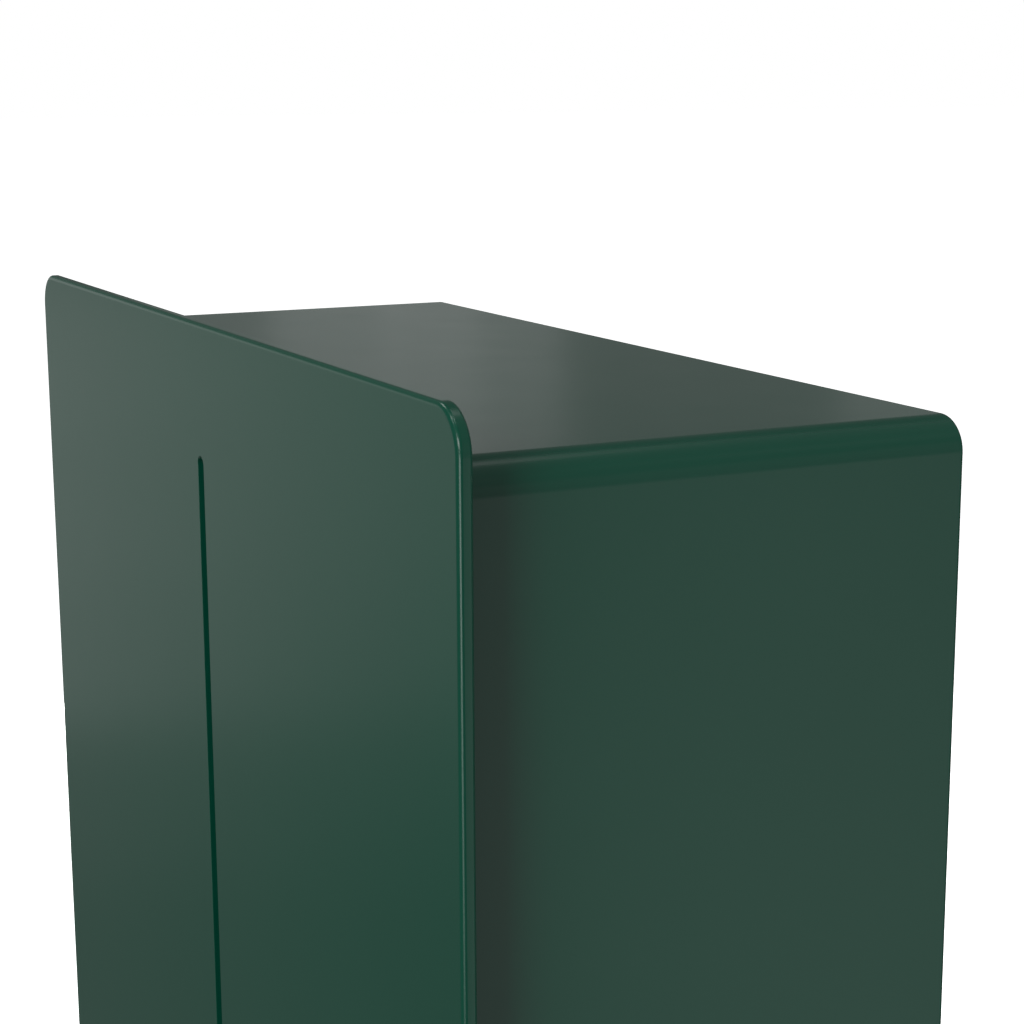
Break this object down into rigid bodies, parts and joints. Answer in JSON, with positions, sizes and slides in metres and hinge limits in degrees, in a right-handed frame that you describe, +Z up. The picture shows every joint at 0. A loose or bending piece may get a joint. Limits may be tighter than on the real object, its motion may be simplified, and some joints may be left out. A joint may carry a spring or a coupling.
{
  "type": "wall mounted mailbox",
  "caption": "Wall mounted mailbox: wrapped sheet casing with rounded edges, overhanging front plate as a hinged door with a long sight slit, lift-up mail flap behind its top edge, cam lock.",
  "frame": {"origin": "middle of the back panel's rear face, which rests on the wall", "axes": "+X to the right seen from the front, +Y into the wall, +Z up"},
  "size_m": [0.382, 0.1602, 0.482],
  "materials": {
    "casing_paint": "satin moss green powder coat on steel sheet",
    "door_paint": "satin moss green powder coat on thick steel plate",
    "inner_paint": "satin moss green powder coat, inner sheet parts",
    "lock_chrome": "bright nickel-chrome plating",
    "zinc_steel": "zinc plated steel",
    "rubber": "matt black rubber",
    "nylon": "natural nylon",
    "black_plastic": "fine grained black moulding",
    "clear_strip": "clear smoked polycarbonate"
  },
  "bodies": {
    "casing": {"back_panel": "inner_paint", "casing_shell": "casing_paint", "door_buffer_1": "rubber", "door_buffer_2": "rubber", "door_buffer_3": "rubber", "door_buffer_4": "rubber", "door_frame": "inner_paint", "flap_bracket_left": "inner_paint", "flap_bracket_right": "inner_paint", "flap_pin_left": "zinc_steel", "flap_pin_right": "zinc_steel", "hinge_body_leaf_lower": "casing_paint", "hinge_body_leaf_upper": "casing_paint", "hinge_pin_lower": "zinc_steel", "hinge_pin_upper": "zinc_steel", "hinge_rivet_lower_1": "casing_paint", "hinge_rivet_lower_2": "casing_paint", "hinge_rivet_upper_1": "casing_paint", "hinge_rivet_upper_2": "casing_paint", "hinge_washer_lower": "nylon", "hinge_washer_upper": "nylon", "mail_retainer": "inner_paint", "wall_grommet_1": "rubber", "wall_grommet_2": "rubber", "wall_grommet_3": "rubber", "wall_grommet_4": "rubber"},
    "door": {"cover_rivet": "zinc_steel", "door_plate": "door_paint", "hinge_door_leaf_lower": "door_paint", "hinge_door_leaf_upper": "door_paint", "lock_housing": "lock_chrome", "lock_nut": "lock_chrome", "sight_strip": "clear_strip", "strip_nut_1": "zinc_steel", "strip_nut_2": "zinc_steel", "strip_nut_3": "zinc_steel", "strip_nut_4": "zinc_steel", "strip_nut_5": "zinc_steel", "strip_nut_6": "zinc_steel", "strip_retainer": "black_plastic"},
    "lock": {"lock_plug": "lock_chrome", "lock_cam": "zinc_steel", "cam_screw": "zinc_steel"},
    "cover": {"keyhole_cover": "lock_chrome"},
    "flap": {"mail_flap": "casing_paint"}
  },
  "joints": [
    {"name": "door_hinge", "type": "hinge", "parent": "casing", "child": "door", "pos_m": [-0.178, -0.145, 0], "axis": [0, 0, -1], "range_deg": [0, 105]},
    {"name": "lock_turn", "type": "hinge", "parent": "door", "child": "lock", "pos_m": [0.14, -0.155, 0], "axis": [0, -1, 0], "range_deg": [0, 90]},
    {"name": "cover_swivel", "type": "hinge", "parent": "door", "child": "cover", "pos_m": [0.14, -0.15775, 0.017], "axis": [0, -1, 0], "range_deg": [-100, 100]},
    {"name": "flap_hinge", "type": "hinge", "parent": "casing", "child": "flap", "pos_m": [0, -0.123, 0.22375], "axis": [-1, 0, 0], "range_deg": [0, 85]}
  ]
}
